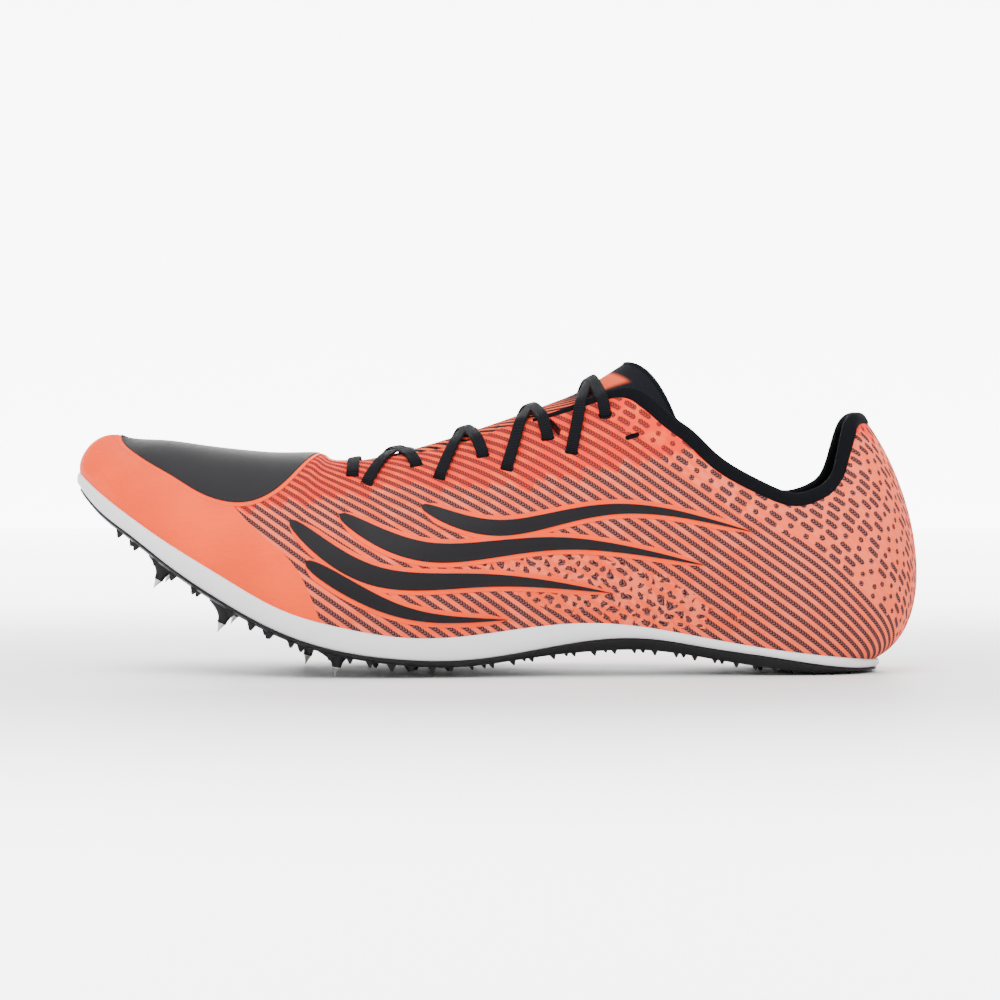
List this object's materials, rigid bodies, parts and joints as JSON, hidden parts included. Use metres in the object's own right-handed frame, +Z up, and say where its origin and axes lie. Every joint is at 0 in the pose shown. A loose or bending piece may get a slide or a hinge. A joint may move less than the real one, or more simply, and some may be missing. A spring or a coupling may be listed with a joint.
{
  "type": "track spike shoe",
  "caption": "Low sprint spike for the left foot: hollow laced knit upper, tongue, thin foam midsole and a stiff spiked plate that curves up to the toe.",
  "frame": {"origin": "middle of the bounding box at floor level", "axes": "-X to the toe, +X to the heel, -Y to the outer side of the foot, +Y to the inner side, +Z up"},
  "size_m": [0.2858, 0.0962, 0.1046],
  "materials": {
    "orange_knit": "matt knit",
    "orange_film": "satin film",
    "black_film": "satin film",
    "black_textile": "matt woven",
    "white_foam": "matt foam",
    "grey_textile": "matt cloth",
    "black_plate": "satin moulding",
    "steel": "ground steel"
  },
  "bodies": {
    "root": {"upper": "orange_knit", "collar_cuff": "black_textile", "eyestay": "orange_film", "tongue": "black_textile", "midsole": "white_foam", "insole": "grey_textile", "outsole_plate": "black_plate", "toe_film": "black_film", "toe_rand": "orange_film", "pin_1": "steel", "pin_2": "steel", "pin_3": "steel", "pin_4": "steel", "pin_5": "steel", "pin_6": "steel", "lace_1": "black_textile", "lace_2": "black_textile", "lace_3": "black_textile", "lace_4": "black_textile", "lace_5": "black_textile", "ribbon_outer_1": "black_film", "ribbon_outer_2": "black_film", "ribbon_outer_3": "black_film", "ribbon_outer_4": "black_film", "ribbon_inner_1": "black_film", "ribbon_inner_2": "black_film", "ribbon_inner_3": "black_film", "ribbon_inner_4": "black_film"}
  },
  "joints": []
}
